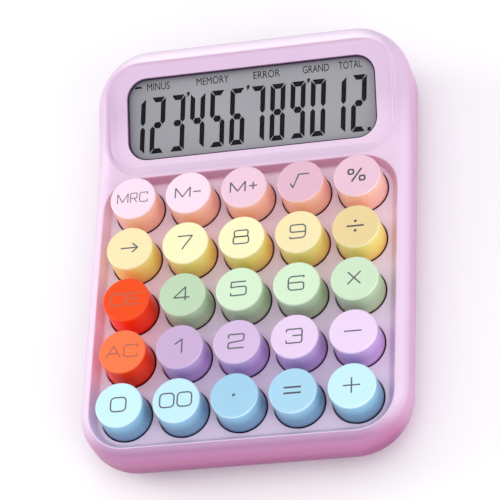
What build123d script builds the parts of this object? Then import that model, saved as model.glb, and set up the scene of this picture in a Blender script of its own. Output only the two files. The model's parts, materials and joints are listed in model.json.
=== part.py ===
from build123d import *
import math
import os

# A desk calculator in millimetres. X runs across it, +Y towards the display, Z up from the desk.
# The origin is on the desk, under the middle of the object. Each function makes one sub-part.

os.makedirs("parts", exist_ok=True)

# Keypad
key_pitch = 19.0          # from one key to the next, both ways
key_columns = 5
key_rows = 5
hole_web = 1.9            # plastic left between two holes of the deck
key_gap = 0.4             # all round between a key and its hole, at the deck
key_height = 10.0         # key top above the deck
key_draft = 0.45          # how much smaller the radius is at the key top
key_edge_round = 0.5
key_wall = 1.6
key_travel = 2.5
flange_overlap = 0.4      # how far the key's flange reaches under the deck
flange_thickness = 1.2
stem_radius = 2.5
stop_gap = 0.1            # flange to deck, and stem to dome, at rest
stem_rest_gap = 0.5       # stem above the mat when the key is fully down
hole_edge_round = 0.25

# Case
side_band = 6.8           # from the outer key cell to the side of the case
front_band = 6.3          # the same at the front
display_section = 48.7    # from the last key cell to the back of the case
corner_radius = 19.0      # of the case seen from above
wall = 2.0
foot_stand = 1.0          # case bottom above the desk
deck_height = 17.1        # top face of the keypad deck above the desk
rim_height = 4.2          # crown of the rim above the deck
top_round = 7.1
bottom_round = 9.5
rise_start = 6.5          # from the last key cell to where the top starts to rise
rise_angle = 15.0
rise_blend = 25.0         # radius of the bend where the top starts to rise
parting_height = 5.0      # joint between the two shells, above the desk
parting_gap = 0.1
lip_height = 1.4
lip_clearance = 0.05
overrun = 5.0             # how far a cutting shape runs past what it cuts
root = 0.5                # how far a joined feature is sunk into what carries it

# Recess round the keys, at the deck and at the rim
recess_margin = 0.35      # recess floor beyond the outer key cells
recess_depth = 3.6        # deck to the edge of the rim
recess_run = 2.4          # how far its side and front walls lean out over that depth
recess_back_run = 0.9
recess_corner = 10.0
recess_foot_round = 1.2
edge_round = 0.4

# Display, measured in the tilted plane of the window's top face
display_tilt = 16.5
window_setback = 23.5     # from the last key cell to the window's centre
window_rise = 5.5         # window's centre above the deck
window_side = 11.2        # from the side of the case to the window opening
window_height = 28.8
window_corner = 7.0
window_sink = 0.8         # window's top face below the floor of the dish
window_gap = 0.3
window_flange = 1.7       # flange of the window behind the dish plate
window_flange_thickness = 0.8
window_flange_trim = 0.5  # flange is shorter at front and back by this
window_edge_round = 0.25
dish_side = 5.2           # from the side of the case to the dish wall, at the dish floor
dish_back = 4.9           # from the window opening to the dish wall behind it
dish_front = 1.9
dish_corner = 9.0
dish_draft = 10.0
dish_front_slope = 47.0   # lean of the dish's front wall away from upright
dish_tool_height = 8.0
dish_foot_round = 1.5

# LCD and its frame
glass_thickness = 1.8
glass_margin = 0.7        # glass beyond the window opening
ledge_width = 1.0         # contact ledge on the lower sheet of the glass
frame_wall = 1.0
frame_back = 1.3
frame_fit = 0.1
frame_corner = 1.5
glass_corner = 0.5
ear_radius = 2.4
ear_thickness = 1.6
frame_screw_radius = 0.8
frame_screw_grip = 2.45   # shank in the case's boss
frame_screw_head = 1.7
frame_screw_head_height = 1.0
frame_boss_radius = 1.6
front_ear_inset = 5.0     # from the side of the window opening
back_ear_offset = 12.0    # from the middle of the display
ribbon_width = 60.0
ribbon_thickness = 0.3
ribbon_gap = 0.05         # film above what it lies on
ribbon_lead_out = 3.4     # straight film past the glass
ribbon_landing = 4.7      # straight film at the board
ribbon_bend = 1.2

# Board and dome mat
board_top = 8.0
board_thickness = 1.6
board_rear_extra = 4.6    # board beyond the last key cell
board_side_cut = 4.2      # board edge inside the outer key cells
board_corner = 2.0
board_post_radius = 2.0
board_screw_grip = 5.0    # shank in the case's boss
board_screw_head = 1.9
board_screw_head_height = 1.2
mat_thickness = 1.0
mat_inset = 0.4           # mat edge inside the board's
mat_rear_inset = 1.5      # and inside the last key cell
dome_base_radius = 4.8
dome_top_radius = 3.2
dome_wall = 0.8
dome_roof = 1.0
pill_radius = 1.8
pill_travel = 1.3         # pill above the board at rest
board_boss_radius = 2.5
board_screw_radius = 0.95
screw_clearance = 0.15
pilot_clearance = 0.05    # pilot hole round the screw's shank
mat_hole_clearance = 0.3
chip_radius = 7.0         # epoxy cap over the chip
chip_height = 1.6
capacitor_radius = 2.0
capacitor_height = 3.0
capacitor_setback = 1.0   # from the last key cell

# Battery bay, for one AAA cell lying across
cell_radius = 5.25
cell_length = 44.5
cell_nub_radius = 1.9
cell_nub_length = 0.8
bay_setback = 22.5        # from the last key cell to the cell's axis
bay_clearance = 0.3
bay_wall = 1.4
bay_wall_rise = 2.0       # end walls above the cell's axis
bay_bar = 0.8             # bar behind the cell
bay_bar_gap = 0.25
spring_length = 3.8
spring_wire = 0.3
spring_turns = 3.5
spring_radius = 2.9
spring_taper = -8.0
contact_thickness = 0.4
contact_half_width = 4.5
contact_above_axis = 4.0
contact_gap = 0.05
solder_tail = 1.5         # tail of a contact plate above it
solder_tail_half_width = 1.2
wire_radius = 0.6
wire_bend = 1.8
door_gap = 0.3
door_front_beyond = 1.15  # door edge in front of the cell
door_length_beyond = 2.75 # door hinge beyond the cell
tab_width = 6.0
tab_offset = 15.0         # from the middle of the door
tab_reach = 2.35
tab_thickness = 1.1
tab_gap = 0.1             # tab above the case bottom
tab_root_length = 3.0
tongue_half_width = 4.0   # latch tongue at the door's front edge
tongue_thickness = 0.8
tongue_height = 2.4
groove_count = 3
groove_pitch = 1.6
groove_width = 0.7
groove_depth = 0.3
groove_half_length = 5.0
groove_setback = 3.0      # first groove from the door's front edge
thumb_notch_radius = 4.0

# Fasteners and feet
case_screw_radius = 1.3
case_screw_head = 2.4
case_screw_head_height = 1.6
case_boss_radius = 2.8
well_radius = 3.5
well_top = 7.0
well_seat = 5.4
case_screw_grip = 5.5     # shank above the well
screw_side_inset = 6.3    # case screws from the middle of the side walls
screw_front_inset = 5.8
screw_back_inset = 4.2
rear_screw_inset = 14.5   # the rear pair from the outer key cells
foot_radius = 5.0
foot_thickness = 1.8
foot_edge_round = 0.4
foot_clearance = 0.1
foot_side_inset = 16.3
foot_end_inset = 16.0

# What follows from those sizes
keys_width = key_columns * key_pitch
keys_length = key_rows * key_pitch
case_width = keys_width + 2 * side_band
case_length = front_band + keys_length + display_section
front_y = -case_length / 2
back_y = case_length / 2
keys_front_y = front_y + front_band
keys_back_y = keys_front_y + keys_length
keys_centre_y = (keys_front_y + keys_back_y) / 2
rim_top = deck_height + rim_height
deck_bottom = deck_height - wall
inner_floor = foot_stand + wall
hole_radius = (key_pitch - hole_web) / 2
key_radius = hole_radius - key_gap
flange_radius = hole_radius + flange_overlap
mat_top = board_top + mat_thickness
flange_top = deck_bottom - stop_gap
stem_bottom = mat_top + key_travel + stem_rest_gap
dome_height = stem_bottom - stop_gap - mat_top
board_bottom = board_top - board_thickness
window_y = keys_back_y + window_setback
window_z = deck_height + window_rise
window_width = case_width - 2 * window_side
cell_y = keys_back_y + bay_setback
cell_z = inner_floor + bay_clearance + cell_radius
cell_right = cell_length / 2
cell_left = -cell_length / 2
bay_right = cell_right + contact_thickness + 2 * contact_gap
bay_left = cell_left - spring_length - contact_thickness - 2 * contact_gap
hinge_y = cell_y + cell_radius + door_length_beyond
door_front_y = cell_y - cell_radius - door_front_beyond
board_rear = keys_back_y + board_rear_extra
window_thickness = wall - window_sink
glass_top = -window_thickness - window_flange_thickness
glass_width = window_width + 2 * glass_margin
glass_length = window_height + 2 * glass_margin
ear_top = glass_top - frame_fit - glass_thickness / 2

display_plane = Plane(
    origin=(0, window_y, window_z),
    x_dir=(1, 0, 0),
    z_dir=(0, -math.sin(math.radians(display_tilt)), math.cos(math.radians(display_tilt))),
)


def save(shape, node):
    shape.label = node
    export_step(shape, f"parts/{node}.step")


def block(x_low, x_high, y_low, y_high, z_low, z_high):
    centre = ((x_low + x_high) / 2, (y_low + y_high) / 2, (z_low + z_high) / 2)
    return Pos(*centre) * Box(x_high - x_low, y_high - y_low, z_high - z_low)


def post(x, y, z_low, z_high, radius):
    return Pos(x, y, (z_low + z_high) / 2) * Cylinder(radius, z_high - z_low)


def rounded_plate(width, length, radius, thickness):
    return extrude(RectangleRounded(width, length, radius), thickness)


def in_display(shape, x=0.0, y=0.0, z=0.0):
    return display_plane.location * Pos(x, y, z) * shape


def case_block(inset):
    """The outside of the case, or with an inset the same shape inside its wall."""
    width = case_width - 2 * inset
    length = case_length - 2 * inset
    bottom = foot_stand + inset
    plan = RectangleRounded(width, length, corner_radius - inset)
    solid = Pos(0, 0, bottom) * extrude(plan, deck_height * 3)

    top = rim_top - inset
    slope = math.tan(math.radians(rise_angle))
    bend_y = keys_back_y + rise_start + inset * math.tan(math.radians(rise_angle / 2))
    far = case_length
    rise = top + (far - bend_y) * slope
    low = bottom - overrun
    outline = make_face(Polyline(
        (-far, low), (far, low), (far, rise), (bend_y, top), (-far, top), close=True))
    bend = [v for v in outline.vertices() if abs(v.X - bend_y) < 1]
    outline = fillet(bend, rise_blend)
    side = extrude(Plane.YZ * outline, width, both=True)
    solid = solid & side

    top_edges = []
    for edge in solid.edges():
        middle = edge.center()
        crosses = abs(middle.X) < 1 and abs(middle.Y) < length / 2 - 1
        if middle.Z > bottom + 1 and edge.bounding_box().min.Z > top - 0.5 and not crosses:
            top_edges.append(edge)
    solid = fillet(top_edges, top_round - inset)
    low_edges = [e for e in solid.edges() if e.bounding_box().max.Z < bottom + 0.01]
    return fillet(low_edges, bottom_round - inset)


def below(z):
    return block(-case_width, case_width, -case_length, case_length, -overrun, z)


def above(z):
    return block(-case_width, case_width, -case_length, case_length, z, deck_height * 3)


def recess_tool(grow, floor_z):
    """Space above the deck, lofted from its floor outline; grow sets it outward for the wall."""
    rise = deck_height * 0.5
    lean = recess_run / recess_depth * rise
    back_lean = recess_back_run / recess_depth * rise
    half_width = keys_width / 2 + recess_margin + grow
    front = keys_front_y - recess_margin - grow
    back = keys_back_y + recess_margin + grow
    floor = Pos(0, (front + back) / 2, floor_z) * RectangleRounded(
        2 * half_width, back - front, recess_corner + grow)
    mouth_front = front - lean
    mouth_back = back + back_lean
    mouth = Pos(0, (mouth_front + mouth_back) / 2, floor_z + rise) * RectangleRounded(
        2 * (half_width + lean), mouth_back - mouth_front, recess_corner + grow + lean)
    return loft([floor, mouth])


def dish_tool(grow, floor_z):
    """Space above the display, in the display's own plane."""
    lean = math.tan(math.radians(dish_draft)) * dish_tool_height
    front_lean = math.tan(math.radians(dish_front_slope)) * dish_tool_height
    half_width = case_width / 2 - dish_side + grow
    front = -window_height / 2 - dish_front - grow
    back = window_height / 2 + dish_back + grow
    floor = Pos(0, (front + back) / 2, floor_z) * RectangleRounded(
        2 * half_width, back - front, dish_corner + grow)
    mouth_front = front - front_lean
    mouth_back = back + lean
    mouth = Pos(0, (mouth_front + mouth_back) / 2, floor_z + dish_tool_height) * RectangleRounded(
        2 * (half_width + lean), mouth_back - mouth_front, dish_corner + grow + 2 * lean)
    return loft([floor, mouth])


def key_places():
    for row in range(key_rows):
        for column in range(key_columns):
            x = (column - (key_columns - 1) / 2) * key_pitch
            y = keys_front_y + (row + 0.5) * key_pitch
            yield column, row, x, y


def board_screw_places():
    for reach in (1.5, 0.5):
        for sx in (-1, 1):
            for sy in (-1, 1):
                yield sx * reach * key_pitch, keys_centre_y + sy * reach * key_pitch


def board_post_places():
    for sx in (-1, 1):
        for sy in (-1, 1):
            yield sx * 1.5 * key_pitch, keys_centre_y + sy * 0.5 * key_pitch


def case_screw_places():
    for side in (-1, 1):
        yield side * 1.5 * key_pitch, front_y + wall / 2 + screw_front_inset
        yield side * (case_width / 2 - wall / 2 - screw_side_inset), keys_centre_y + 0.5 * key_pitch
        yield side * (keys_width / 2 - rear_screw_inset), back_y - wall / 2 - screw_back_inset


def frame_screw_places():
    front = -window_height / 2 - glass_margin - ledge_width - frame_wall - ear_radius
    back = window_height / 2 + glass_margin + frame_wall + ear_radius
    for side in (-1, 1):
        yield side * (window_width / 2 - front_ear_inset), front
        yield side * back_ear_offset, back


def foot_places():
    for side in (-1, 1):
        yield side * (case_width / 2 - foot_side_inset), front_y + foot_end_inset
        yield side * (case_width / 2 - foot_side_inset), back_y - foot_end_inset


def upper_case():
    outer = case_block(0)
    hollow = case_block(wall)
    # The deck, the rim and the dish plate stay solid inside the hollow.
    hollow -= recess_tool(wall, deck_bottom) & above(deck_bottom)
    hollow -= in_display(dish_tool(wall, window_sink - wall))
    shell = outer & above(parting_height + parting_gap)

    recess = recess_tool(0, deck_height)
    recess = fillet(recess.faces().sort_by(Axis.Z)[0].edges(), recess_foot_round)
    cut = shell - recess
    cut = fillet(new_edges(shell, recess, combined=cut), edge_round)

    dish = dish_tool(0, window_sink)
    dish = in_display(fillet(dish.faces().sort_by(Axis.Z)[0].edges(), dish_foot_round))
    case = cut - dish
    case = fillet(new_edges(cut, dish, combined=case), 2 * edge_round)

    case -= hollow
    case -= case_block(wall / 2 - lip_clearance) & below(parting_height + lip_height + lip_clearance)
    case -= [post(x, y, deck_bottom - root, deck_height + root, hole_radius)
             for _, _, x, y in key_places()]
    opening = in_display(rounded_plate(window_width, window_height, window_corner, 4 * wall),
                         z=-2 * wall)
    pierced = case - opening
    rims = [e for e in pierced.edges() if e.geom_type == GeomType.CIRCLE
            and abs(e.radius - hole_radius) < 0.01 and abs(e.center().Z - deck_height) < 0.01]
    case = fillet(rims, hole_edge_round)

    bosses = [post(x, y, board_top, deck_bottom + root, board_boss_radius)
              for x, y in board_screw_places()]
    for x, y in case_screw_places():
        reach = deck_bottom + root if y < keys_back_y else window_z
        bosses.append(post(x, y, well_top + parting_gap, reach, case_boss_radius) & outer)
    for x, y in frame_screw_places():
        low = ear_top
        boss = Pos(0, 0, (low + window_sink) / 2) * Cylinder(frame_boss_radius, window_sink - low)
        bosses.append(in_display(boss, x, y) - dish)
    case += bosses

    pilots = [post(x, y, board_top - root, deck_bottom - root, board_screw_radius + pilot_clearance)
              for x, y in board_screw_places()]
    pilots += [post(x, y, 0, deck_bottom - root, case_screw_radius + pilot_clearance)
               for x, y in case_screw_places()]
    for x, y in frame_screw_places():
        depth = frame_screw_grip + root
        pilot = Pos(0, 0, ear_top + depth / 2) * Cylinder(frame_screw_radius + pilot_clearance, depth)
        pilots.append(in_display(pilot, x, y))
    return case - pilots


def door_opening():
    return block(bay_left, bay_right, door_front_y - door_gap, hinge_y + wall + door_gap / 2,
                 foot_stand - overrun, inner_floor + root)


def lower_case():
    tray = (case_block(0) - case_block(wall)) & below(parting_height)
    lip = (case_block(wall / 2 + lip_clearance) - case_block(wall)) & below(parting_height + lip_height)
    tray += lip & above(parting_height - wall / 2)

    tray += [post(x, y, inner_floor - root, board_bottom, board_post_radius)
             for x, y in board_post_places()]
    inside = case_block(wall / 2) & below(parting_height)
    inside += case_block(wall + 2 * lip_clearance)
    tray += [post(x, y, foot_stand, well_top, well_radius) & inside for x, y in case_screw_places()]
    tray -= [post(x, y, -overrun, well_seat, case_screw_head + screw_clearance)
             for x, y in case_screw_places()]
    tray -= [post(x, y, -overrun, well_top + root, case_screw_radius + screw_clearance)
             for x, y in case_screw_places()]

    # Battery bay: two end walls with slots for the contacts, a front wall and a bar behind the cell.
    top = cell_z + bay_wall_rise
    front = door_front_y - 2 * door_gap
    bar_y = cell_y + cell_radius + bay_bar_gap
    bar_back = bar_y + bay_bar
    sunk = inner_floor - root
    for low, high in ((bay_left - bay_wall, bay_left), (bay_right, bay_right + bay_wall)):
        tray += block(low, high, front - bay_wall, bar_back, sunk, top)
    tray += block(bay_left, bay_right, front - bay_wall, front, sunk, cell_z)
    tray += block(bay_left, bay_right, bar_y, bar_back, inner_floor + wall, cell_z + bay_bar)
    tray -= door_opening()

    edge_y = door_front_y - door_gap
    ball = Pos((bay_left + bay_right) / 2, edge_y, foot_stand) * Sphere(thumb_notch_radius)
    tray -= ball & block(bay_left, bay_right, edge_y - thumb_notch_radius, edge_y,
                         foot_stand - overrun, foot_stand + wall / 2)
    tray -= [post(x, y, -overrun, foot_thickness, foot_radius + foot_clearance)
             for x, y in foot_places()]
    return tray


def battery_door():
    left = bay_left + door_gap
    right = bay_right - door_gap
    middle = (left + right) / 2
    plate = block(left, right, door_front_y, hinge_y, foot_stand, inner_floor)
    edge = Pos(middle, hinge_y, inner_floor) * Rot(0, 90, 0) * Cylinder(wall, right - left)
    edge &= block(left, right, hinge_y, hinge_y + wall, foot_stand, inner_floor)
    door = plate + edge
    tab_bottom = inner_floor + tab_gap
    tab_top = tab_bottom + tab_thickness
    for side in (-1, 1):
        low_x = middle + side * tab_offset - tab_width / 2
        high_x = low_x + tab_width
        door += block(low_x, high_x, hinge_y - tab_root_length, hinge_y, inner_floor - root, tab_top)
        door += block(low_x, high_x, hinge_y - root, hinge_y + wall + tab_reach, tab_bottom, tab_top)
    door += block(middle - tongue_half_width, middle + tongue_half_width, door_front_y,
                  door_front_y + tongue_thickness, inner_floor - root, inner_floor + tongue_height)
    # A few grooves give a thumb its grip.
    for step in range(groove_count):
        y = door_front_y + groove_setback + groove_pitch * step
        door -= block(middle - groove_half_length, middle + groove_half_length, y, y + groove_width,
                      foot_stand - overrun, foot_stand + groove_depth)
    return door


def display_window():
    full = window_thickness + root
    pad = rounded_plate(window_width - 2 * window_gap, window_height - 2 * window_gap,
                        window_corner - window_gap, full)
    pad = fillet(pad.faces().sort_by(Axis.Z)[-1].edges(), window_edge_round)
    flange = rounded_plate(window_width + 2 * window_flange,
                           window_height + 2 * (window_flange - window_flange_trim),
                           window_corner, window_flange_thickness)
    return in_display(pad, z=-full) + in_display(flange, z=glass_top)


def lcd_glass():
    half = glass_thickness / 2
    upper = in_display(rounded_plate(glass_width, glass_length, glass_corner, half),
                       z=glass_top - half)
    lower = rounded_plate(glass_width, glass_length + ledge_width, glass_corner, half)
    return upper + in_display(lower, y=-ledge_width / 2, z=glass_top - glass_thickness)


def lcd_frame():
    depth = glass_thickness + frame_fit + frame_back
    centre = -ledge_width / 2
    width = glass_width + 2 * (frame_fit + frame_wall)
    length = glass_length + ledge_width + 2 * (frame_fit + frame_wall)
    frame = in_display(rounded_plate(width, length, frame_corner, depth), y=centre, z=glass_top - depth)
    for x, y in frame_screw_places():
        reach = frame_wall + ear_radius
        toward = reach / 2 if y < 0 else -reach / 2
        ear = Cylinder(ear_radius, ear_thickness)
        neck = Pos(0, toward, 0) * Box(2 * ear_radius, reach, ear_thickness)
        frame += in_display(ear + neck, x, y, ear_top - ear_thickness / 2)
    pocket = rounded_plate(glass_width + 2 * frame_fit, glass_length + ledge_width + 2 * frame_fit,
                           glass_corner + frame_fit, depth)
    frame -= in_display(pocket, y=centre, z=glass_top - glass_thickness - frame_fit)
    slot = Box(ribbon_width + 2 * frame_wall, 4 * frame_wall, 2 * glass_thickness)
    frame -= in_display(slot, y=-glass_length / 2 - ledge_width - frame_wall, z=glass_top)
    frame -= [in_display(Cylinder(frame_screw_radius + screw_clearance, overrun * 4), x, y)
              for x, y in frame_screw_places()]
    return frame


def cross_slot(radius, depth):
    """Two crossed bars, cut into a screw head of that radius."""
    length = 1.1 * radius
    width = 0.26 * radius
    return Box(length, width, depth) + Box(width, length, depth)


def frame_screws():
    seat = ear_top - ear_thickness
    shank_length = ear_thickness + frame_screw_grip
    screws = []
    for x, y in frame_screw_places():
        head = Pos(0, 0, seat - frame_screw_head_height / 2) * Cylinder(
            frame_screw_head, frame_screw_head_height)
        shank = Pos(0, 0, seat + shank_length / 2) * Cylinder(frame_screw_radius, shank_length)
        cross = Pos(0, 0, seat - frame_screw_head_height) * cross_slot(
            frame_screw_head, frame_screw_head_height)
        screws.append(in_display(head + shank - cross, x, y))
    return Compound(children=screws)


def upright_screws(places, seat, shank_radius, shank_length, head_radius, head_height):
    screws = []
    for x, y in places:
        head = post(x, y, seat - head_height, seat, head_radius)
        head = fillet(head.edges().sort_by(Axis.Z)[0], head_height / 3)
        shank = post(x, y, seat - pilot_clearance, seat + shank_length, shank_radius)
        shank = chamfer(shank.edges().sort_by(Axis.Z)[-1], shank_radius / 2)
        cross = Pos(x, y, seat - head_height) * cross_slot(head_radius, head_height)
        screws.append(head + shank - cross)
    return Compound(children=screws)


def board_screws():
    return upright_screws(board_screw_places(), board_bottom, board_screw_radius,
                          board_thickness + board_screw_grip, board_screw_head,
                          board_screw_head_height)


def case_screws():
    return upright_screws(case_screw_places(), well_seat, case_screw_radius,
                          well_top - well_seat + case_screw_grip, case_screw_head,
                          case_screw_head_height)


def board_outline(inset, rear):
    half_width = keys_width / 2 - board_side_cut - inset
    front = keys_front_y + board_side_cut + inset
    middle = (front + rear) / 2
    return Pos(0, middle, 0) * RectangleRounded(2 * half_width, rear - front, board_corner)


def key_board():
    board = Pos(0, 0, board_bottom) * extrude(board_outline(0, board_rear), board_thickness)
    holes = [post(x, y, board_bottom - root, board_top + root, board_screw_radius + screw_clearance)
             for x, y in board_screw_places()]
    return board - holes


def dome_mat():
    mat = Pos(0, 0, board_top) * extrude(
        board_outline(mat_inset, keys_back_y - mat_rear_inset), mat_thickness)
    low = mat_top - root
    top = mat_top + dome_height
    roof = top - dome_roof
    domes = []
    hollows = []
    pills = []
    for _, _, x, y in key_places():
        domes.append(Pos(x, y, (low + top) / 2) * Cone(dome_base_radius, dome_top_radius, top - low))
        hollows.append(Pos(x, y, (board_top + roof) / 2) * Cone(
            dome_base_radius - dome_wall, dome_top_radius - dome_wall, roof - board_top))
        pills.append(post(x, y, board_top + pill_travel, roof + root, pill_radius))
    mat += domes
    mat -= hollows
    mat += pills
    holes = [post(x, y, board_top - root, mat_top + root, board_boss_radius + mat_hole_clearance)
             for x, y in board_screw_places()]
    return mat - holes


def controller_chip():
    sphere_radius = (chip_radius ** 2 + chip_height ** 2) / (2 * chip_height)
    cap = Pos(0, keys_centre_y, board_bottom - chip_height + sphere_radius) * Sphere(sphere_radius)
    return cap & block(-chip_radius, chip_radius, keys_centre_y - chip_radius,
                       keys_centre_y + chip_radius, 0, board_bottom)


def capacitor():
    """Low can on the board, clear of the flange of the key before it at full travel."""
    can = post(-2 * key_pitch, keys_back_y + capacitor_setback, board_top,
               board_top + capacitor_height, capacitor_radius)
    return fillet(can.edges().group_by(Axis.Z)[-1], capacitor_radius / 6)


def display_ribbon():
    """Flat film from the LCD's contact ledge, down behind the board and onto its rear edge."""
    lift = ribbon_thickness / 2 + ribbon_gap
    ledge_z = glass_top - glass_thickness / 2 + lift
    ledge_y = -glass_length / 2 - ribbon_gap * 2
    start = display_plane.from_local_coords(Vector(0, ledge_y, ledge_z))
    corner = display_plane.from_local_coords(Vector(0, ledge_y - ribbon_lead_out, ledge_z))
    landing = board_top + lift
    foot = board_rear + ribbon_bend
    path = FilletPolyline(
        (start.Y, start.Z), (corner.Y, corner.Z), (foot, landing), (foot - ribbon_landing, landing),
        radius=ribbon_bend)
    film = trace(path, ribbon_thickness)
    return extrude(Plane.YZ * film, ribbon_width / 2, both=True)


def battery():
    can_length = cell_length - cell_nub_length
    can = Pos((cell_left + cell_right - cell_nub_length) / 2, cell_y, cell_z) * Rot(0, 90, 0) * (
        Cylinder(cell_radius, can_length))
    can = fillet(can.edges(), cell_radius / 10)
    nub = Pos(cell_right - cell_nub_length, cell_y, cell_z) * Rot(0, 90, 0) * Cylinder(
        cell_nub_radius, 2 * cell_nub_length)
    return can + nub


def contact_plate(x_low):
    x_high = x_low + contact_thickness
    top = cell_z + contact_above_axis
    plate = block(x_low, x_high, cell_y - contact_half_width, cell_y + contact_half_width,
                  inner_floor + 2 * root, top)
    tail = block(x_low, x_high, cell_y - solder_tail_half_width, cell_y + solder_tail_half_width,
                 top - root, top + solder_tail)
    return plate + tail


positive_x = cell_right + contact_gap
negative_x = cell_left - spring_length - contact_thickness


def positive_plate():
    return contact_plate(positive_x)


def negative_plate():
    return contact_plate(negative_x)


def battery_spring():
    height = spring_length - 2 * spring_wire - 2 * contact_gap
    path = Helix(pitch=height / spring_turns, height=height, radius=spring_radius,
                 cone_angle=spring_taper)
    start = path.position_at(0)
    section = Plane(origin=start, z_dir=path.tangent_at(0)) * Circle(spring_wire)
    coil = sweep(section, path=path)
    x = cell_left - spring_length + spring_wire + contact_gap
    return Pos(x, cell_y, cell_z) * Rot(0, 90, 0) * coil


def lead(plate_x, side):
    """Insulated wire from the tail of a contact plate to the rear edge of the board."""
    tail_z = cell_z + contact_above_axis + wire_radius
    pad_x = side * 33.0
    pad_y = board_rear - 1.6
    points = [
        (plate_x, cell_y, tail_z),
        (plate_x + side * 5.0, cell_y, tail_z),
        (pad_x + side * 2.5, cell_y - 7.0, board_top + 2.6),
        (pad_x, pad_y + 4.0, board_top + 1.6),
        (pad_x, pad_y, board_top + wire_radius + 2 * contact_gap),
    ]
    path = FilletPolyline(*points, radius=wire_bend)
    section = Plane(origin=path.position_at(0), z_dir=path.tangent_at(0)) * Circle(wire_radius)
    return sweep(section, path=path)


def red_lead():
    return lead(positive_x + contact_thickness, 1)


def black_lead():
    return lead(negative_x, -1)


def rubber_feet():
    feet = []
    for x, y in foot_places():
        foot = post(x, y, 0, foot_thickness, foot_radius)
        feet.append(fillet(foot.edges().sort_by(Axis.Z)[0], foot_edge_round))
    return Compound(children=feet)


def key(x, y):
    """Hollow cap with a flange under the deck and a stem that presses its dome."""
    top = deck_height + key_height
    flange_bottom = flange_top - flange_thickness
    roof = top - key_wall
    section = make_face(Polyline(
        (0, top),
        (key_radius - key_draft, top),
        (key_radius, deck_height),
        (key_radius, flange_top),
        (flange_radius, flange_top),
        (flange_radius, flange_bottom),
        (key_radius - key_wall, flange_bottom),
        (key_radius - key_draft - key_wall, roof),
        (stem_radius, roof),
        (stem_radius, stem_bottom),
        (0, stem_bottom),
        close=True,
    ))
    cap = revolve(Plane.XZ * section, Axis.Z)
    rim = [e for e in cap.edges() if abs(e.center().Z - top) < 0.01 and e.geom_type == GeomType.CIRCLE]
    return Pos(x, y, 0) * fillet(rim, key_edge_round)


key_names = [
    ["0", "00", "point", "equals", "plus"],
    ["all_clear", "1", "2", "3", "minus"],
    ["clear_entry", "4", "5", "6", "multiply"],
    ["backspace", "7", "8", "9", "divide"],
    ["memory_recall", "memory_minus", "memory_plus", "root", "percent"],
]

sub_parts = [
    upper_case, lower_case, battery_door, display_window, lcd_glass, lcd_frame, frame_screws,
    display_ribbon, key_board, board_screws, dome_mat, controller_chip, capacitor, battery,
    battery_spring, positive_plate, negative_plate, red_lead, black_lead, case_screws, rubber_feet,
]

for sub_part in sub_parts:
    save(sub_part(), sub_part.__name__)

for column, row, x, y in key_places():
    save(key(x, y), "key_" + key_names[row][column])
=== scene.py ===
import json
import math
import bmesh
import bpy
from mathutils import Matrix, Vector


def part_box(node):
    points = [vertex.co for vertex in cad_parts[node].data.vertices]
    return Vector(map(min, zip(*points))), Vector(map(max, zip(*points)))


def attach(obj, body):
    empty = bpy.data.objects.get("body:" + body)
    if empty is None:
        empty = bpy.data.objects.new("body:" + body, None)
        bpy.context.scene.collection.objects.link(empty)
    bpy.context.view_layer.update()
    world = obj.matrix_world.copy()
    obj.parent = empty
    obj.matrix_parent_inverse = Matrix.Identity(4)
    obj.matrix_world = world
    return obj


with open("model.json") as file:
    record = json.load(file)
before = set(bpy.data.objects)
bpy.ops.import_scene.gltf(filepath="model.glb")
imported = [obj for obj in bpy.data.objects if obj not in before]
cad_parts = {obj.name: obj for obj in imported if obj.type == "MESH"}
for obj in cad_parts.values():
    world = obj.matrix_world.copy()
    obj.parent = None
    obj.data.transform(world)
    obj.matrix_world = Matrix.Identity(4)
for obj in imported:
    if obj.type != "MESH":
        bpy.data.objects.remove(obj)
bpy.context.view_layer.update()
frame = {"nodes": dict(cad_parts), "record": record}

# Looks of the desk calculator: moulded shells and keys, printed legends, the LCD and its clear window,
# and what shows underneath and inside. Metres, in the frame of the CAD model.

mm = 0.001
nodes = frame["nodes"]
print("frame loaded:", len(nodes), "nodes")


# small helpers

def linearColour(hexCode):
    # an sRGB hex value as the linear colour that a shader wants
    channels = [int(hexCode[i:i + 2], 16) / 255 for i in (0, 2, 4)]
    return tuple(c / 12.92 if c <= 0.04045 else ((c + 0.055) / 1.055) ** 2.4 for c in channels) + (1.0,)


def addNode(tree, kind, values=None, links=None, stops=None, **settings):
    # one node with its settings, its socket values, its incoming links and, on a ramp, its colours
    node = tree.nodes.new(kind)
    for name, value in settings.items():
        setattr(node, name, value)
    for socket, value in (values or {}).items():
        node.inputs[socket].default_value = value
    for socket, source in (links or {}).items():
        tree.links.new(source, node.inputs[socket])
    if stops:
        elements = node.color_ramp.elements
        while len(elements) < len(stops):
            elements.new(0.5)
        for element, (position, hexCode) in zip(elements, stops):
            element.position = position
            element.color = linearColour(hexCode)
    return node


def startMaterial(name):
    material = bpy.data.materials.new(name)
    material.use_nodes = True
    tree = material.node_tree
    tree.nodes.clear()
    place = addNode(tree, "ShaderNodeTexCoord").outputs["Object"]
    return material, tree, place


def endMaterial(tree, values, links):
    shader = addNode(tree, "ShaderNodeBsdfPrincipled", values, links)
    addNode(tree, "ShaderNodeOutputMaterial", links={"Surface": shader.outputs["BSDF"]})


def between(first, second, share):
    # the hex colour part of the way from one to another
    ends = [[int(code[i:i + 2], 16) for i in (0, 2, 4)] for code in (first, second)]
    return "".join("%02X" % round(a + (b - a) * share) for a, b in zip(*ends))


cloudStart = 0.3                                 # noise below this is all the dark colour


def addCloud(tree, place, size, dark, light, detail, full):
    # two near colours clouded together; full is where in the noise the light one is pure
    noise = addNode(tree, "ShaderNodeTexNoise", {"Scale": 1 / size, "Detail": detail}, {"Vector": place})
    ramp = addNode(tree, "ShaderNodeValToRGB", links={"Fac": noise.outputs["Fac"]},
                   stops=[(cloudStart, dark), (full, light)])
    return ramp.outputs["Color"]


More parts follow.
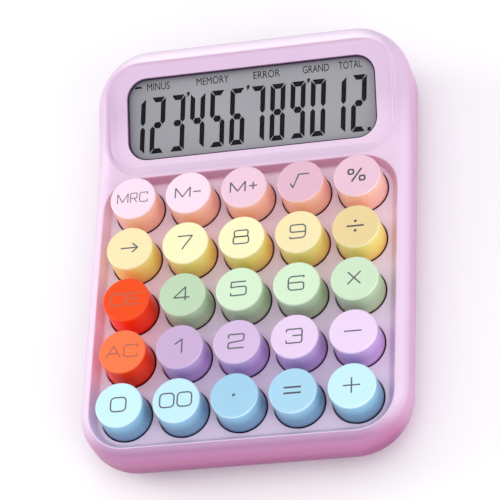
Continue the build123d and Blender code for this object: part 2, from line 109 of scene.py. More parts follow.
def addGrain(tree, place, size, depth):
    # fine relief of a real surface: size of its grain and its depth, both in metres
    noise = addNode(tree, "ShaderNodeTexNoise", {"Scale": 1 / size, "Detail": 2.0}, {"Vector": place})
    bump = addNode(tree, "ShaderNodeBump", {"Strength": 1.0, "Distance": depth},
                   {"Height": noise.outputs["Fac"]})
    return bump.outputs["Normal"]


def addDrift(tree, place, colour, size, share):
    # slow change of brightness over a surface, as uneven dye or handling gives
    noise = addNode(tree, "ShaderNodeTexNoise", {"Scale": 1 / size, "Detail": 3.0}, {"Vector": place})
    value = addNode(tree, "ShaderNodeMapRange", {"To Min": 1 - share, "To Max": 1 + share},
                    {"Value": noise.outputs["Fac"]})
    drift = addNode(tree, "ShaderNodeHueSaturation",
                    links={"Color": colour, "Value": value.outputs["Result"]})
    return drift.outputs["Color"]


finishSockets = {"roughness": "Roughness", "metallic": "Metallic", "ior": "IOR",
                 "specular": "Specular IOR Level", "glow": "Subsurface Weight"}


def plainFinish(name, look):
    # a finish with no parts: its cloud of two colours, its grain where it has one, and its gloss
    material, tree, place = startMaterial(name)
    links = {"Base Color": addCloud(tree, place, look["cloud"] * mm, look["dark"], look["light"],
                                    look.get("detail", 4.0), look.get("full", 0.7))}
    if "grain" in look:
        links["Normal"] = addGrain(tree, place, look["grain"] * mm, look["depth"] * mm)
    values = {socket: look[key] for key, socket in finishSockets.items() if key in look}
    if "glow" in look:
        values["Subsurface Scale"] = 1 * mm
    endMaterial(tree, values, links)
    return material


def paint(nodeNames, material):
    for name in nodeNames:
        slots = nodes[name].data.materials
        for index in range(len(slots)):
            slots[index] = material


def newPiece(name, mesh, material, body):
    piece = bpy.data.objects.new(name, mesh)
    bpy.context.scene.collection.objects.link(piece)
    mesh.materials.clear()
    mesh.materials.append(material)
    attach(piece, body)


def meshOf(curve):
    # the mesh that a curve or text makes, with the curve itself gone again
    holder = bpy.data.objects.new(curve.name, curve)
    bpy.context.scene.collection.objects.link(holder)
    bpy.context.view_layer.update()
    mesh = bpy.data.meshes.new_from_object(holder)
    bpy.data.objects.remove(holder)
    bpy.data.curves.remove(curve)
    return mesh


# plastics

def addPaintedShade(tree, place, share, colour, look):
    # Painted shade by direction: walls take a deeper tone than what looks up, and the front skirt the
    # deepest;
    # inner walls that look to the front take only part of that last painted shade.
    normal = addNode(tree, "ShaderNodeTexCoord").outputs["Normal"]
    turn = addNode(tree, "ShaderNodeSeparateXYZ", links={"Vector": normal})
    along = addNode(tree, "ShaderNodeSeparateXYZ", links={"Vector": place})
    upright = addNode(tree, "ShaderNodeMapRange",
                      {"From Min": look["wallStart"], "From Max": look["wallFull"]},
                      {"Value": turn.outputs["Z"]})
    forward = addNode(tree, "ShaderNodeMapRange",
                      {"From Min": look["frontStart"], "From Max": look["frontFull"]},
                      {"Value": turn.outputs["Y"]})
    outer = addNode(tree, "ShaderNodeMapRange",
                    {"From Min": look["inside"] * mm, "From Max": look["outside"] * mm,
                     "To Min": look["innerShadeShare"]}, {"Value": along.outputs["Y"]})
    skirt = addNode(tree, "ShaderNodeMath",
                    links={0: forward.outputs["Result"], 1: outer.outputs["Result"]}, operation="MULTIPLY")
    for amount, stops in ((upright.outputs["Result"], look["wallShadeStops"]),
                          (skirt.outputs["Value"], look["frontShadeStops"])):
        tone = addNode(tree, "ShaderNodeValToRGB", links={"Fac": share}, stops=stops)
        mixed = addNode(tree, "ShaderNodeMix",
                        links={"Factor": amount, "A": colour, "B": tone.outputs["Color"]}, data_type="RGBA")
        colour = mixed.outputs["Result"]
    return colour


def mouldedPlastic(name, look):
    # ABS from a polished or lightly eroded mould: satin gloss, fine even grain, and colour set by height
    # that
    # paints light and shade on it: painted shade lower down, painted highlight higher up
    material, tree, place = startMaterial(name)
    height = addNode(tree, "ShaderNodeSeparateXYZ", links={"Vector": place}).outputs["Z"]
    share = addNode(tree, "ShaderNodeMapRange",
                    {"From Min": look["low"] * mm, "From Max": look["high"] * mm},
                    {"Value": height}).outputs["Result"]
    colour = addNode(tree, "ShaderNodeValToRGB", links={"Fac": share},
                     stops=look["stops"]).outputs["Color"]
    if "wallShadeStops" in look:
        colour = addPaintedShade(tree, place, share, colour, look)
    colour = addDrift(tree, place, colour, look["driftSize"] * mm, look["driftShare"])
    normal = addGrain(tree, place, look["grain"] * mm, look["grainDepth"] * mm)
    endMaterial(tree, {
        "Roughness": look["roughness"], "IOR": look["ior"],
        "Specular IOR Level": look.get("specular", 0.5),
        "Subsurface Weight": look["glow"], "Subsurface Radius": look["reach"],
        "Subsurface Scale": look["glowDepth"] * mm,
    }, {"Base Color": colour, "Normal": normal})
    return material


caseLook = {
    # heights of the colour stops run from low to high, in millimetres; they paint shade below the deck and
    # round the display dish, and a near-white painted highlight on the crown
    "low": 1.0, "high": 30.4, "driftSize": 30.0, "driftShare": 0.02,
    "grain": 0.5, "grainDepth": 0.003, "roughness": 0.36, "ior": 1.53,
    "glow": 0.10, "glowDepth": 1.5, "reach": (1.0, 0.8, 0.8),
    "stops": [(0.30, "D8B8D4"), (0.54, "EAD6EA"), (0.66, "E8CEE6"), (0.78, "D8BED8"), (0.93, "DCC0DC"),
              (1.0, "FCEEFA")],
    # how far a face has to lean from level before it counts as a wall and takes painted shade
    "wallStart": 0.75, "wallFull": 0.25,
    "wallShadeStops": [(0.0, "BE80AE"), (0.30, "C892BA"), (0.48, "D0A0C4"), (0.75, "D8B0D0"),
                  (1.0, "E4C4DE")],
    # how far it has to face the front, and where along the case the skirt begins and the inside ends, for
    # the deepest painted shade on the front skirt
    "frontStart": -0.05, "frontFull": -0.75, "inside": -60.0, "outside": -69.0, "innerShadeShare": 0.15,
    "frontShadeStops": [(0.27, "904078"), (0.41, "B06090"), (0.56, "B87CA8"), (0.68, "A27EA4"),
                   (0.90, "9A7A9C")],
}
# the base carries the same painted shade and painted highlight as the case
baseLook = dict(caseLook, grain=0.9, grainDepth=0.02, roughness=0.5)
keyLook = {
    "low": 15.0, "high": 27.1, "driftSize": 9.0, "driftShare": 0.015,
    "grain": 0.4, "grainDepth": 0.002, "roughness": 0.34, "ior": 1.53,
    "glow": 0.08, "glowDepth": 1.5, "reach": (1.0, 0.8, 0.8),
}
# heights of a key's colours, which paint its light and shade: in the hole (painted shadow), at the deck,
# halfway, below the edge (painted shade), on it (painted highlight), and the top face (painted light)
keyPaintedLightStops = (0.162, 0.180, 0.50, 0.90, 0.965, 0.99)
gapShade = "0E0A1C"                              # a key in the shadow of its hole, under the deck
keyLitAndShadedColours = {
    # slot: at the deck, halfway up, below the edge (painted shade of the sides), on the edge (painted
    # highlight), then the lightest and darkest top face (painted light)
    "key_blue": ("789CBC", "72A0BC", "8EC4E0", "DCF6FC", "C8F0F8", "9ECDE5"),
    "key_lilac": ("CCA4DE", "BE98D6", "CBACE2", "F6E6FA", "EAD2EF", "C6AACF"),
    "key_green": ("BAC8A0", "AAC69A", "B6D6A8", "E8FAE2", "D2ECCA", "BAD5B2"),
    "key_yellow": ("FCC870", "FADC6C", "F6E484", "FFF8CC", "FAF2C0", "E6D095"),
    "key_pink": ("FFC0B4", "FBC0AE", "FAC6B6", "FDE2EC", "F8DCEB", "E0B5C6"),
    "key_orange": ("FF3004", "FF3606", "FF3A08", "FF6A38", "FA7A48", "F04C14"),
}
# how far each key's top face is towards the darkest of its row: painted shade that differs from key to key
keyTopPaintedShade = {
    "key_00": 0.2, "key_point": 1.0, "key_equals": 0.8, "key_plus": 0.1,
    "key_1": 1.0, "key_2": 0.6, "key_3": 0.1, "key_clear_entry": 1.0,
    "key_4": 1.0, "key_multiply": 0.35, "key_backspace": 0.4, "key_9": 0.4, "key_divide": 1.0,
    "key_memory_plus": 0.5, "key_root": 1.0, "key_percent": 0.7,
}

lilacAbs = mouldedPlastic("moulded_abs_lilac", caseLook)
lilacBaseAbs = mouldedPlastic("eroded_abs_lilac_base", baseLook)
paint(["upper_case"], lilacAbs)
paint(["lower_case", "battery_door"], lilacBaseAbs)

keyNames = sorted(name for name in nodes if name.startswith("key_") and name != "key_board")
keySlots = {part["node"]: part["material_slot"] for part in frame["record"]["subparts"]}
dullOrange = 0.2                                 # the orange keys reflect less than the pale ones
for name in keyNames:
    # a key's colours are painted light and shade: shadow in its hole, shaded sides, a highlit edge and a
    # lit top face
    *shadedSides, litTop, shadedTop = keyLitAndShadedColours[keySlots[name]]
    colours = [gapShade, *shadedSides, between(litTop, shadedTop, keyTopPaintedShade.get(name, 0.0))]
    look = dict(keyLook, stops=list(zip(keyPaintedLightStops, colours)))
    if keySlots[name] == "key_orange":
        look["specular"] = dullOrange
    paint([name], mouldedPlastic("moulded_abs_" + name, look))
print("plastics done:", len(keyNames), "keys")


# legends printed on the keys

# Strokes run in a box from -1 to 1 both ways. Each has its points, the share of the corner that is
# rounded, and whether it closes on itself.
soft = 0.32
sharp = 0.06
ring = [(-1, -1), (-1, 1), (1, 1), (1, -1)]
sixLine = [(1, 0.72), (1, 1), (-1, 1), (-1, -1), (1, -1), (1, 0.08), (-1, 0.08)]
glyphs = {
    "0": [(ring, soft, True)],
    "1": [([(-1, 0.3), (1, 1), (1, -1)], sharp, False)],
    "2": [([(-1, 0.45), (-1, 1), (1, 1), (1, 0.05), (-1, -0.2), (-1, -1)], soft, False),
          ([(-1, -1), (1, -1)], sharp, False)],
    "3": [([(-1, 0.6), (-1, 1), (1, 1), (1, 0.05)], soft, False),
          ([(-0.2, 0.05), (0.95, 0.05)], sharp, False),
          ([(1, 0.05), (1, -1), (-1, -1), (-1, -0.6)], soft, False)],
    "4": [([(0.45, -1), (0.45, 1), (-1, -0.55), (1, -0.55)], sharp, False)],
    "5": [([(0.95, 1), (-0.95, 1), (-1, 0.16)], sharp, False),
          ([(-1, 0.16), (-0.6, 0.26), (1, 0.26), (1, -1), (-1, -1), (-1, -0.62)], soft, False)],
    "6": [(sixLine, soft, False)],
    "7": [([(-1, 1), (1, 1), (-0.35, -1)], sharp, False)],
    "8": [([(-0.9, 0.06), (-0.9, 1), (0.9, 1), (0.9, 0.06)], soft, True),
          ([(-1, -1), (-1, 0.06), (1, 0.06), (1, -1)], soft, True)],
    "9": [([(-x, -y) for x, y in sixLine], soft, False)],
    "A": [([(-1, -1), (0, 1), (1, -1)], sharp, False), ([(-0.62, -0.3), (0.62, -0.3)], sharp, False)],
    "C": [([(1, 0.5), (1, 1), (-1, 1), (-1, -1), (1, -1), (1, -0.5)], soft, False)],
    "E": [([(1, 1), (-1, 1), (-1, -1), (1, -1)], sharp, False), ([(-1, 0), (0.8, 0)], sharp, False)],
    "M": [([(-1, -1), (-1, 1), (0, -0.85), (1, 1), (1, -1)], sharp, False)],
    "R": [([(-1, -1), (-1, 1), (1, 1), (1, -0.1), (-1, -0.1)], soft / 2, False),
          ([(0.1, -0.1), (1, -1)], sharp, False)],
    "bar": [([(-1, 0), (1, 0)], sharp, False)],
    "plus": [([(-1, 0), (1, 0)], sharp, False), ([(0, -1), (0, 1)], sharp, False)],
    "cross": [([(-1, -1), (1, 1)], sharp, False), ([(-1, 1), (1, -1)], sharp, False)],
    "arrow": [([(-1, 0), (1, 0)], sharp, False), ([(0.35, 1), (1, 0), (0.35, -1)], sharp, False)],
    "root": [([(-1, -0.3), (-0.72, -1), (-0.12, 1), (1, 1)], sharp, False)],
    "slash": [([(-1, -1), (1, 1)], sharp, False)],
    "dot": [],
}
# legend of each key: (glyph, x of its middle, y of its middle, width, height) in millimetres
digitSize = (5.1, 4.9)
letterSize = (5.0, 3.8)
legends = {
    "key_0": [("0", 0, 0, *digitSize)],
    "key_00": [("0", -2.9, 0, 4.7, 4.9), ("0", 2.9, 0, 4.7, 4.9)],
    "key_point": [("dot", 0, 0, 1.1, 1.1)],
    "key_equals": [("bar", 0, 1.0, 5.6, 0), ("bar", 0, -1.0, 5.6, 0)],
    "key_plus": [("plus", 0, 0, 5.6, 5.4)],
    "key_all_clear": [("A", -2.9, 0, 4.8, 4.2), ("C", 2.9, 0, 4.6, 4.2)],
    "key_1": [("1", -0.2, 0, 2.4, 4.9)],
    "key_2": [("2", 0, 0, *digitSize)],
    "key_3": [("3", 0, 0, *digitSize)],
    "key_minus": [("bar", 0, 0, 5.6, 0)],
    "key_clear_entry": [("C", -2.8, 0, 4.5, 4.2), ("E", 2.8, 0, 4.2, 4.2)],
    "key_4": [("4", 0, 0, 5.3, 4.9)],
    "key_5": [("5", 0, 0, *digitSize)],
    "key_6": [("6", 0, 0, *digitSize)],
    "key_multiply": [("cross", 0, 0, 4.2, 4.4)],
    "key_backspace": [("arrow", 0, 0, 5.8, 3.4)],
    "key_7": [("7", 0, 0, 5.0, 4.9)],
    "key_8": [("8", 0, 0, *digitSize)],
    "key_9": [("9", 0, 0, *digitSize)],
    "key_divide": [("bar", 0, 0, 5.6, 0), ("dot", 0, 1.75, 1.0, 1.0), ("dot", 0, -1.75, 1.0, 1.0)],
    "key_memory_recall": [("M", -3.4, 0, 3.6, 3.5), ("R", 0.4, 0, 2.2, 3.5), ("C", 3.8, 0, 2.7, 3.5)],
    "key_memory_minus": [("M", -1.7, 0, *letterSize), ("bar", 3.2, 0, 2.6, 0)],
    "key_memory_plus": [("M", -1.9, 0, *letterSize), ("plus", 3.3, 0, 2.7, 2.7)],
    "key_root": [("root", 0, 0, 6.2, 4.9)],
    "key_percent": [("0", -1.9, 1.3, 1.7, 1.7), ("slash", 0, 0, 3.2, 4.8), ("0", 1.9, -1.3, 1.7, 1.7)],
}
# widths of the strokes and thickness of the ink, in millimetres
legendLook = {"stroke": 0.5, "bold": 0.62, "fine": 0.36, "thickness": 0.02, "cornerSteps": 5,
              "dotSteps": 3}
boldKeys = ("key_equals", "key_divide", "key_percent")
fineKeys = ("key_memory_recall",)
paleKeys = ("key_memory_recall", "key_memory_minus")


def roundedPath(corners, share, closed):
    # the points of a path whose corners are replaced by short parabolas
    path = []
    count = len(corners)
    for index, corner in enumerate(corners):
        if not closed and index in (0, count - 1):
            path.append(corner)
            continue
        before = corners[index - 1]
        after = corners[(index + 1) % count]
        reach = share * min((before - corner).length, (after - corner).length)
        start = corner + (before - corner).normalized() * reach
        end = corner + (after - corner).normalized() * reach
        for step in range(legendLook["cornerSteps"] + 1):
            t = step / legendLook["cornerSteps"]
            path.append(start * (1 - t) ** 2 + corner * (2 * t * (1 - t)) + end * t ** 2)
    return path


def strokeCurve(name, parts, width):
    # one curve with a round section for every stroke of a legend
    curve = bpy.data.curves.new(name, "CURVE")
    curve.dimensions = "3D"
    curve.bevel_depth = width / 2 * mm
    curve.bevel_resolution = 1
    curve.use_fill_caps = True
    for glyph, x, y, w, h in parts:
        for points, share, closed in glyphs[glyph]:
            corners = [Vector((x + px * w / 2, y + py * h / 2, 0)) * mm for px, py in points]
            path = roundedPath(corners, share, closed)
            spline = curve.splines.new("POLY")
            spline.points.add(len(path) - 1)
            for point, co in zip(spline.points, path):
                point.co = (*co, 1)
            spline.use_cyclic_u = closed
    return curve


def legendMesh(name, parts, width):
    form = bmesh.new()
    if any(glyphs[part[0]] for part in parts):
        form.from_mesh(meshOf(strokeCurve(name, parts, width)))
    for glyph, x, y, w, _ in parts:
        if glyph == "dot":
            bmesh.ops.create_icosphere(form, subdivisions=legendLook["dotSteps"], radius=w / 2 * mm,
                                       matrix=Matrix.Translation((x * mm, y * mm, 0)))
    flatten = legendLook["thickness"] / width
    bmesh.ops.scale(form, vec=(1, 1, flatten), verts=form.verts)
    mesh = bpy.data.meshes.new(name)
    form.to_mesh(mesh)
    form.free()
    return mesh


# pad-printed ink: thin, matt, with slight breaks in its cover that let the key's colour through
inkLook = {"cloud": 0.6, "detail": 2.0, "full": 0.75, "roughness": 0.55, "ior": 1.5}
inkColours = {"grey": ("55595F", "666B72"), "dark": ("43474C", "51555B"), "pale": ("726E7A", "827D88"),
              "worn": ("B8604A", "C46A50")}
inks = {shade: plainFinish("pad_printed_ink_" + shade, dict(inkLook, dark=dark, light=light))
        for shade, (dark, light) in inkColours.items()}


def shadeOf(keyName):
    if keySlots[keyName] == "key_orange":
        return "worn"
    if keyName in boldKeys:
        return "dark"
    return "pale" if keyName in paleKeys else "grey"


for name in keyNames:
    low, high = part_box(name)
    cap = name.removeprefix("key_")
    weight = "bold" if name in boldKeys else "fine" if name in fineKeys else "stroke"
    mesh = legendMesh("legend_" + cap, legends[name], legendLook[weight])
    mesh.transform(Matrix.Translation(((low.x + high.x) / 2, (low.y + high.y) / 2, high.z)))
    for face in mesh.polygons:
        face.use_smooth = True
    newPiece("legend_" + cap, mesh, inks[shadeOf(name)], "cap_" + cap)
print("legends done")


# display

facesUp = 0.5                                    # least upward part of the normal of a top face
sameTurn = 0.9999                                # faces this alike in direction are one plane,
sameLevel = 1e-6                                 # if they are also this close in level, in metres


def facePlane(nodeName):
    # the plane of a node's largest face that looks up: X along the object, Z out of the face
    mesh = nodes[nodeName].data
    largest = max((f for f in mesh.polygons if f.normal.z > facesUp), key=lambda f: f.area)
    up = largest.normal.normalized()
    level = up.dot(largest.center)
    flat = [f for f in mesh.polygons
            if f.normal.dot(up) > sameTurn and abs(up.dot(f.center) - level) < sameLevel]
    across = Vector((1, 0, 0))
    along = up.cross(across)
    points = [mesh.vertices[v].co for f in flat for v in f.vertices]
    spanX = [p.dot(across) for p in points]
    spanY = [p.dot(along) for p in points]
    origin = across * (min(spanX) + max(spanX)) / 2 + along * (min(spanY) + max(spanY)) / 2 + up * level
    place = Matrix((across, along, up)).transposed().to_4x4()
    place.translation = origin
    return place, max(spanX) - min(spanX), max(spanY) - min(spanY)


glassPlace, glassWidth, glassLength = facePlane("lcd_glass")
windowPlace, windowWidth, windowLength = facePlane("display_window")

displayLook = {
    "opening": 0.3,                              # the opening past the flat top of the window, each side
    "filmGap": 0.03, "filmThickness": 0.02, "filmInset": 0.5,
    "inkGap": 0.01, "inkThickness": 0.02, "weld": 0.0001,
    # size of the dark ring of painted shadow round the window
    "shadowRingWidth": 0.5, "shadowRingDepth": 0.4, "windowCorner": 6.45, "cornerSteps": 12,
}
openHeight = windowLength + 2 * displayLook["opening"] * mm
openWidth = windowWidth + 2 * displayLook["opening"] * mm
filmPlace = glassPlace @ Matrix.Translation((0, 0, displayLook["filmGap"] * mm))
inkPlace = filmPlace @ Matrix.Translation(
    (0, 0, (displayLook["filmThickness"] + displayLook["inkGap"]) * mm))


def flatShape(form, outline, thickness):
    # a closed plate over an outline of (x, y) points
    corners = [form.verts.new((x, y, 0)) for x, y in outline]
    face = form.faces.new(corners)
    moved = bmesh.ops.extrude_face_region(form, geom=[face])["geom"]
    raised = [v for v in moved if isinstance(v, bmesh.types.BMVert)]
    bmesh.ops.translate(form, vec=(0, 0, thickness), verts=raised)


def placedMesh(name, form, place):
    bmesh.ops.recalc_face_normals(form, faces=form.faces)
    mesh = bpy.data.meshes.new(name)
    form.to_mesh(mesh)
    form.free()
    mesh.transform(place)
    return mesh


digitLook = {
    # places in the opening and sizes in millimetres
    "shown": "123456789012", "pitch": 6.98, "lastRight": 3.1, "bottom": 2.6, "slant": 0.067,
    "width": 5.15, "height": 19.6, "bar": 1.62, "gap": 0.22, "topInset": 0.2, "sideInset": 0.1,
    # shares of the bar: depth of the level bars, the points of the upright ones, then the middle bar's
    # half depth, its shoulders and its ends
    "level": 1.08, "point": 0.6, "waist": 0.66, "shoulder": 1.1, "end": 0.72,
    "nip": 0.4,                                  # share of the gap that the level bars reach inwards
    "comma": [(-0.45, 0.35), (0.35, 0.55), (0.55, 0.0), (0.3, -0.75), (-0.35, -1.35), (-0.25, -0.6),
              (-0.5, -0.2)],
    "commaRise": 0.2, "commaAfter": (2, 5, 8),
    "dot": [(0.0, 0.0), (1.15, 0.0), (1.15, 1.2), (0.0, 1.2)], "dotGap": 0.55,
}
segmentsOf = {
    "0": "abcdef", "1": "bc", "2": "abged", "3": "abgcd", "4": "fgbc", "5": "afgcd",
    "6": "afgedc", "7": "abc", "8": "abcdefg", "9": "abcdfg",
}


def segmentOutlines():
    # the seven bars of a digit, from its lower left corner, in millimetres
    w, h, bar, gap = (digitLook[key] for key in ("width", "height", "bar", "gap"))
    waist, shoulder, end = (bar * digitLook[key] for key in ("waist", "shoulder", "end"))
    middle = h / 2
    tip = middle + gap + bar * digitLook["point"]
    inner = h - bar * digitLook["level"]
    edge = gap + digitLook["topInset"]
    side = bar - gap * digitLook["nip"]
    top = [(edge, h), (w - edge, h), (w - side, inner), (side, inner)]
    upperRight = [(w, h - gap - digitLook["sideInset"]), (w, tip), (w - bar / 2, middle + gap),
                  (w - bar, tip), (w - bar, inner - gap)]
    centre = [(end, middle), (shoulder, middle + waist), (w - shoulder, middle + waist),
              (w - end, middle), (w - shoulder, middle - waist), (shoulder, middle - waist)]

    def across(outline):
        return [(w - x, y) for x, y in outline]

    def down(outline):
        return [(x, h - y) for x, y in outline]

    return {"a": top, "b": upperRight, "f": across(upperRight), "g": centre,
            "c": down(upperRight), "e": across(down(upperRight)), "d": down(top)}


def lcdFigures():
    # the digits, a raised comma after every third one and the decimal point after the last
    form = bmesh.new()
    outlines = segmentOutlines()
    w = digitLook["width"]
    h = digitLook["height"]
    pitch = digitLook["pitch"]
    bottom = -openHeight / mm / 2 + digitLook["bottom"]
    lastLeft = openWidth / mm / 2 - digitLook["lastRight"] - w

    def add(outline, left):
        slanted = [(left + x + digitLook["slant"] * (y - h), bottom + y) for x, y in outline]
        flatShape(form, [(x * mm, y * mm) for x, y in slanted], displayLook["inkThickness"] * mm)

    for index, digit in enumerate(digitLook["shown"]):
        left = lastLeft - (len(digitLook["shown"]) - 1 - index) * pitch
        for letter in segmentsOf[digit]:
            add(outlines[letter], left)
        if index in digitLook["commaAfter"]:
            across = w + (pitch - w) / 2
            add([(across + x, h + digitLook["commaRise"] + y) for x, y in digitLook["comma"]], left)
    add([(w + digitLook["dotGap"] + x, y) for x, y in digitLook["dot"]], lastLeft)
    return placedMesh("lcd_figures", form, inkPlace)


wordLook = {
    "fontSize": 3.0, "curveSteps": 4, "height": 2.6, "down": 2.3,
    # word, place of its middle and width
    "words": [("MINUS", -32.6, 8.0), ("MEMORY", -13.5, 11.3), ("ERROR", 5.4, 9.2), ("GRAND", 22.4, 9.0),
              ("TOTAL", 34.2, 7.9)],
    "minusBar": [(-40.9, -0.1), (-38.5, -0.1), (-38.5, 0.55), (-40.9, 0.55)],
}


def lcdWords():
    # small fixed words along the top of the display, and the minus bar
    form = bmesh.new()
    level = openHeight / mm / 2 - wordLook["down"]
    for body, middle, width in wordLook["words"]:
        text = bpy.data.curves.new("word_" + body.lower(), "FONT")
        text.body = body
        text.size = wordLook["fontSize"] * mm
        text.resolution_u = wordLook["curveSteps"]
        text.extrude = displayLook["inkThickness"] / 2 * mm
        mesh = meshOf(text)
        xs = [v.co.x for v in mesh.vertices]
        ys = [v.co.y for v in mesh.vertices]
        sizeX = max(xs) - min(xs)
        sizeY = max(ys) - min(ys)
        centre = Matrix.Translation((-(min(xs) + sizeX / 2), -(min(ys) + sizeY / 2), 0))
        fit = Matrix.Diagonal((width * mm / sizeX, wordLook["height"] * mm / sizeY, 1, 1))
        mesh.transform(Matrix.Translation((middle * mm, level * mm, 0)) @ fit @ centre)
        form.from_mesh(mesh)
        bpy.data.meshes.remove(mesh)
    flatShape(form, [(x * mm, (level + y) * mm) for x, y in wordLook["minusBar"]],
              displayLook["inkThickness"] * mm)
    bmesh.ops.remove_doubles(form, verts=form.verts, dist=displayLook["weld"] * mm)
    return placedMesh("lcd_words", form, inkPlace)


def filmMesh():
    form = bmesh.new()
    halfX = glassWidth / 2 - displayLook["filmInset"] * mm
    halfY = glassLength / 2 - displayLook["filmInset"] * mm
    flatShape(form, [(-halfX, -halfY), (halfX, -halfY), (halfX, halfY), (-halfX, halfY)],
              displayLook["filmThickness"] * mm)
    return placedMesh("polariser_film", form, filmPlace)


def roundedOutline(halfX, halfY, radius):
    # a rectangle with round corners, as points in order
    steps = displayLook["cornerSteps"]
    outline = []
    for quarter, (x, y) in enumerate(((1, 1), (-1, 1), (-1, -1), (1, -1))):
        for step in range(steps + 1):
            angle = math.radians(90 * (quarter + step / steps))
            outline.append((x * (halfX - radius) + radius * math.cos(angle),
                            y * (halfY - radius) + radius * math.sin(angle)))
    return outline


def shadowRingMesh():
    # a dark ring that fills the gap round the clear window, from the flat of the window outwards: painted
    # shadow of the opening's wall
    curve = bpy.data.curves.new("window_shadow_ring", "CURVE")
    curve.dimensions = "2D"
    curve.fill_mode = "BOTH"
    curve.extrude = displayLook["shadowRingDepth"] / 2 * mm
    for reach in (0, displayLook["shadowRingWidth"] * mm):
        outline = roundedOutline(windowWidth / 2 + reach, windowLength / 2 + reach,
                                 displayLook["windowCorner"] * mm + reach)
        spline = curve.splines.new("POLY")
        spline.points.add(len(outline) - 1)
        for point, (x, y) in zip(spline.points, outline):
            point.co = (x, y, 0, 1)
        spline.use_cyclic_u = True
    mesh = meshOf(curve)
    mesh.transform(windowPlace @ Matrix.Translation((0, 0, -displayLook["shadowRingDepth"] / 2 * mm)))
    return mesh


# polariser film over a reflective LCD: neutral grey, satin, a faint cast of light and dark bands
filmLook = {"dark": "A2A3A8", "light": "AAABB0", "cloud": 28, "detail": 2.0, "grain": 0.25,
            "depth": 0.002, "roughness": 0.45, "ior": 1.49}
# energised liquid crystal: deep neutral black, slightly uneven
segmentLook = {"dark": "0C0D10", "light": "15171B", "cloud": 1.2, "detail": 2.0, "roughness": 0.6,
               "specular": 0.08}
# dark plum ring, softly glossy: painted shadow that draws the fine dark line round the display
shadowRingLook = {"dark": "2A1834", "light": "3C2646", "cloud": 2.5, "detail": 2.0, "roughness": 0.5,
            "ior": 1.45, "specular": 0.3}
windowLook = {"tint": "2A2C30", "cover": 0.10, "roughness": 0.06, "ior": 1.49, "wave": 6.0,
              "waveDepth": 0.004}


def clearAcrylic():
    # cast clear acrylic: nearly invisible, with a thin gloss over what is under it
    material, tree, place = startMaterial("cast_acrylic_clear")
    normal = addGrain(tree, place, windowLook["wave"] * mm, windowLook["waveDepth"] * mm)
    endMaterial(tree, {
        "Base Color": linearColour(windowLook["tint"]), "Alpha": windowLook["cover"],
        "Roughness": windowLook["roughness"], "IOR": windowLook["ior"],
    }, {"Normal": normal})
    return material


filmMaterial = plainFinish("lcd_polariser_film", filmLook)
segmentMaterial = plainFinish("lcd_segment_black", segmentLook)
shadowRingMaterial = plainFinish("painted_shadow_plum", shadowRingLook)
newPiece("polariser_film", filmMesh(), filmMaterial, "case")
newPiece("lcd_figures", lcdFigures(), segmentMaterial, "case")
newPiece("lcd_words", lcdWords(), segmentMaterial, "case")
# the dark ring round the window is painted shadow
newPiece("window_shadow_ring", shadowRingMesh(), shadowRingMaterial, "case")
paint(["lcd_glass"], filmMaterial)
paint(["display_window"], clearAcrylic())
print("display done")


# what is inside and underneath

finishes = {
    # white ABS of the display's frame, straight from the mould
    "moulded_abs_white": (
        {"dark": "DCDCDA", "light": "E6E6E4", "cloud": 12, "grain": 0.5, "depth": 0.01, "roughness": 0.45},
        ["lcd_frame"]),
    # zinc-plated steel screws: bluish silver, finely scratched
    "zinc_plated_steel": (
        {"dark": "A9ACAF", "light": "C6C9CC", "cloud": 0.8, "grain": 0.2, "depth": 0.006, "roughness": 0.32,
         "metallic": 1.0}, ["case_screws", "board_screws", "frame_screws"]),
    # amber polyester film of the ribbon
    "polyester_film_amber": (
        {"dark": "B9822E", "light": "C99340", "cloud": 3, "grain": 0.6, "depth": 0.004, "roughness": 0.3},
        ["display_ribbon"]),
    # green solder mask over a woven laminate
    "solder_mask_green": (
        {"dark": "17502A", "light": "1E6134", "cloud": 5, "grain": 0.7, "depth": 0.01, "roughness": 0.35},
        ["key_board"]),
    # milky silicone of the dome mat
    "moulded_silicone_milky": (
        {"dark": "D6D6D0", "light": "E2E2DC", "cloud": 6, "grain": 0.4, "depth": 0.01, "roughness": 0.55,
         "glow": 0.4}, ["dome_mat"]),
    # black epoxy cap over the chip, and the capacitor's sleeve
    "epoxy_black": (
        {"dark": "101012", "light": "1A1A1D", "cloud": 3, "grain": 0.9, "depth": 0.03, "roughness": 0.4},
        ["controller_chip", "capacitor"]),
    # nickel-plated spring steel of the battery contacts: warm silver, smooth
    "nickel_plated_steel": (
        {"dark": "B9B5AC", "light": "CFCBC2", "cloud": 1.5, "grain": 0.15, "depth": 0.004,
         "roughness": 0.25, "metallic": 1.0}, ["battery_spring", "positive_plate", "negative_plate"]),
    # extruded PVC of the leads: even, with a soft gloss
    "pvc_insulation_red": (
        {"dark": "A81512", "light": "BC201B", "cloud": 2, "grain": 0.3, "depth": 0.004, "roughness": 0.4},
        ["red_lead"]),
    "pvc_insulation_black": (
        {"dark": "121213", "light": "1D1D1F", "cloud": 2, "grain": 0.3, "depth": 0.004, "roughness": 0.4},
        ["black_lead"]),
    # soft rubber feet, slightly grainy and dull
    "moulded_rubber_pale": (
        {"dark": "B9B2BA", "light": "C8C1C9", "cloud": 1.5, "grain": 0.35, "depth": 0.03, "roughness": 0.8},
        ["rubber_feet"]),
}
for materialName, (look, nodeNames) in finishes.items():
    paint(nodeNames, plainFinish(materialName, look))

cellLook = {
    # from the negative end: bare can, dark body, copper band and the steel of the positive end
    "bands": [(0.0, "B8B9BC"), (0.02, "23262B"), (0.70, "B26A34"), (0.955, "C9CACC")],
    "driftSize": 4.0, "driftShare": 0.05, "grain": 0.8, "grainDepth": 0.006, "roughness": 0.3,
    "metallic": 0.3,
}


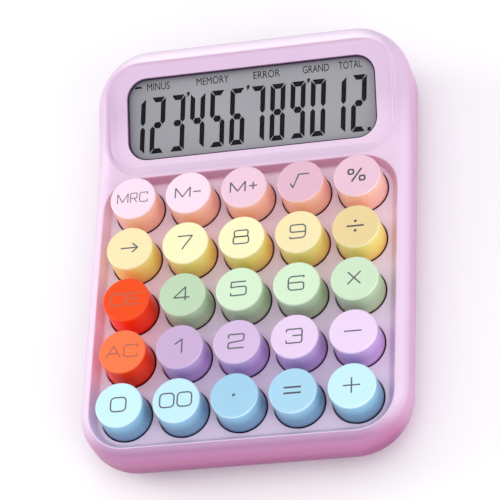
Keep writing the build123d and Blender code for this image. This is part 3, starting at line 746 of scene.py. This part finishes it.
def cellSleeve():
    # printed shrink sleeve: satin dark body with a copper-coloured band at the positive end
    low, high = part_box("battery")
    material, tree, place = startMaterial("shrink_sleeve_printed")
    along = addNode(tree, "ShaderNodeSeparateXYZ", links={"Vector": place}).outputs["X"]
    share = addNode(tree, "ShaderNodeMapRange", {"From Min": low.x, "From Max": high.x},
                    {"Value": along}).outputs["Result"]
    bands = addNode(tree, "ShaderNodeValToRGB", links={"Fac": share}, stops=cellLook["bands"])
    bands.color_ramp.interpolation = "CONSTANT"
    colour = addDrift(tree, place, bands.outputs["Color"], cellLook["driftSize"] * mm,
                      cellLook["driftShare"])
    normal = addGrain(tree, place, cellLook["grain"] * mm, cellLook["grainDepth"] * mm)
    endMaterial(tree, {"Roughness": cellLook["roughness"], "Metallic": cellLook["metallic"]},
                {"Base Color": colour, "Normal": normal})
    return material


paint(["battery"], cellSleeve())
print("inner parts done")


# stage, light and camera

# painted board under the object, matt and all but white
floorLook = {"size": 3.0, "parts": 8, "dark": "FAFAFA", "light": "FCFCFC", "cloud": 60, "detail": 3.0,
             "roughness": 0.7}
studioLook = {"worldColour": "FAFAFF", "worldStrength": 0.83}
lights = [
    # name, place, power in watts, size, colour
    ("soft_key", (-0.75, 0.15, 0.35), 2.2, 0.45, "FFFDF8"),
    ("soft_top", (0.10, -0.10, 0.90), 0.9, 0.60, "FFFFFF"),
    ("side_fill", (0.60, -0.50, 0.42), 2.2, 0.60, "FFFAFA"),
]
cameraLook = {"distance": 0.899, "target": (0.0003, -0.0016, 0.0171), "azimuth": -26.79,
              "elevation": 56.88, "roll": -28.49, "lens": 197.9, "sensor": 36.0, "nearest": 0.01}


def buildStage():
    form = bmesh.new()
    bmesh.ops.create_grid(form, x_segments=floorLook["parts"], y_segments=floorLook["parts"],
                          size=floorLook["size"] / 2)
    mesh = bpy.data.meshes.new("floor")
    form.to_mesh(mesh)
    form.free()
    floor = bpy.data.objects.new("floor", mesh)
    mesh.materials.append(plainFinish("painted_board_floor", floorLook))
    bpy.context.scene.collection.objects.link(floor)

    world = bpy.data.worlds.new("studio")
    world.use_nodes = True
    background = world.node_tree.nodes["Background"]
    background.inputs["Color"].default_value = linearColour(studioLook["worldColour"])
    background.inputs["Strength"].default_value = studioLook["worldStrength"]
    bpy.context.scene.world = world

    for name, place, power, size, colour in lights:
        lamp = bpy.data.lights.new(name, "AREA")
        lamp.energy = power
        lamp.size = size
        lamp.color = linearColour(colour)[:3]
        holder = bpy.data.objects.new(name, lamp)
        holder.location = place
        holder.rotation_euler = (-Vector(place)).to_track_quat("-Z", "Y").to_euler()
        bpy.context.scene.collection.objects.link(holder)


def buildCamera():
    lens = bpy.data.cameras.new("camera")
    lens.lens = cameraLook["lens"]
    lens.sensor_width = cameraLook["sensor"]
    lens.clip_start = cameraLook["nearest"]
    holder = bpy.data.objects.new("camera", lens)
    azimuth = math.radians(cameraLook["azimuth"])
    elevation = math.radians(cameraLook["elevation"])
    away = Vector((-math.sin(azimuth) * math.cos(elevation), -math.cos(azimuth) * math.cos(elevation),
                   math.sin(elevation)))
    aim = (-away).to_track_quat("-Z", "Y").to_matrix()
    roll = Matrix.Rotation(math.radians(cameraLook["roll"]), 3, "Z")
    holder.matrix_world = (aim @ roll).to_4x4()
    holder.location = Vector(cameraLook["target"]) + away * cameraLook["distance"]
    bpy.context.scene.collection.objects.link(holder)
    bpy.context.scene.camera = holder


buildStage()
buildCamera()
bpy.context.scene.view_settings.view_transform = "Standard"
print("stage, lights and camera done")
